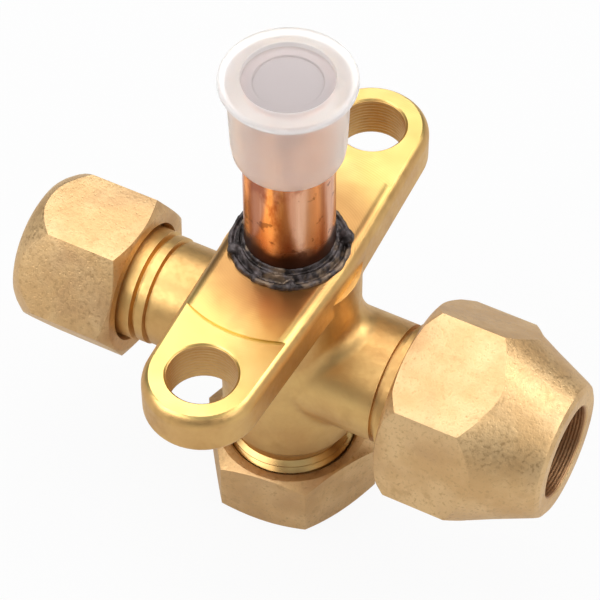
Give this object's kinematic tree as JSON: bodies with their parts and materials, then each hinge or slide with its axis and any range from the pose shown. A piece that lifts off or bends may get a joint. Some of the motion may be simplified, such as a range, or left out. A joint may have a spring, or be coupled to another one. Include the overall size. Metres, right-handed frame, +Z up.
{
  "type": "refrigerant service valve",
  "caption": "Forged brass three-way service valve with a two-bolt flange, brazed copper tube, flare nut, hex stem cap and capped service port.",
  "frame": {"origin": "axis of the copper tube in the plane of the ears' upper faces, midway between the two bolt holes", "axes": "+Z up the copper tube, +X out of the flare port, +Y along the flange from one bolt hole to the other"},
  "size_m": [0.08, 0.0636, 0.0808],
  "materials": {
    "forged_brass": "forged and lightly tumbled, satin, machined bright on faces and threads",
    "blasted_brass": "shot blasted hexagon stock, dull satin with fine pits",
    "turned_brass": "turned, bright",
    "copper": "drawn copper tube, heat stained near the braze",
    "braze": "oxidised braze filler and burnt flux, rough",
    "clear_plastic": "milky translucent polyethylene",
    "seal_rubber": "black moulded rubber",
    "ptfe": "white fluoropolymer",
    "nylon": "natural nylon",
    "spring_steel": "plain spring steel"
  },
  "bodies": {
    "valve": {"valve_body": "forged_brass", "connection_tube": "copper", "braze_fillet": "braze", "stem_snap_ring": "spring_steel", "core_body": "turned_brass", "core_seal_ring": "ptfe", "core_spring": "spring_steel"},
    "stem_seals": {"stem_o_ring_upper": "seal_rubber", "stem_o_ring_lower": "seal_rubber", "stem_backup_ring": "ptfe"},
    "stem": {"valve_stem": "turned_brass"},
    "stem_cap_washer": {"stem_cap_seal": "nylon"},
    "stem_cap": {"stem_cap": "blasted_brass"},
    "service_cap_washer": {"service_cap_seal": "nylon"},
    "service_cap": {"service_cap": "blasted_brass"},
    "flare_nut": {"flare_nut": "blasted_brass"},
    "dust_cap": {"tube_dust_cap": "clear_plastic"},
    "core_pin": {"core_pin": "turned_brass", "core_seat_disc": "seal_rubber"}
  },
  "joints": [
    {"name": "stem_travel", "type": "slide", "parent": "valve", "child": "stem_seals", "axis": [0, 0, 1], "range_m": [0, 0.005]},
    {"name": "stem_turn", "type": "hinge", "parent": "stem_seals", "child": "stem", "pos_m": [0, 0, -0.035], "axis": [0, 0, 1], "range_deg": [-2, 1442]},
    {"name": "stem_cap_travel", "type": "slide", "parent": "valve", "child": "stem_cap_washer", "axis": [0, 0, -1], "range_m": [0, 0.009]},
    {"name": "stem_cap_turn", "type": "hinge", "parent": "stem_cap_washer", "child": "stem_cap", "pos_m": [0, 0, -0.044], "axis": [0, 0, -1], "range_deg": [-2, 2162]},
    {"name": "service_cap_travel", "type": "slide", "parent": "valve", "child": "service_cap_washer", "axis": [-1, 0, 0], "range_m": [0, 0.0127]},
    {"name": "service_cap_turn", "type": "hinge", "parent": "service_cap_washer", "child": "service_cap", "pos_m": [-0.03, 0, -0.0202], "axis": [-1, 0, 0], "range_deg": [-2, 3602]},
    {"name": "flare_nut_travel", "type": "slide", "parent": "valve", "child": "flare_nut", "axis": [1, 0, 0], "range_m": [0, 0.011]},
    {"name": "dust_cap_pull", "type": "slide", "parent": "valve", "child": "dust_cap", "axis": [0, 0, 1], "range_m": [0, 0.013]},
    {"name": "core_press", "type": "slide", "parent": "valve", "child": "core_pin", "axis": [1, 0, 0], "range_m": [0, 0.0012], "stiffness_N_per_m": 400, "springref_m": -0.002, "deforming": ["core_spring"]}
  ],
  "couplings": [
    {"joint": "stem_turn", "follows": "stem_travel", "rad_per_m": 5026.5},
    {"joint": "stem_cap_turn", "follows": "stem_cap_travel", "rad_per_m": 4188.8},
    {"joint": "service_cap_turn", "follows": "service_cap_travel", "rad_per_m": 4947.4}
  ]
}
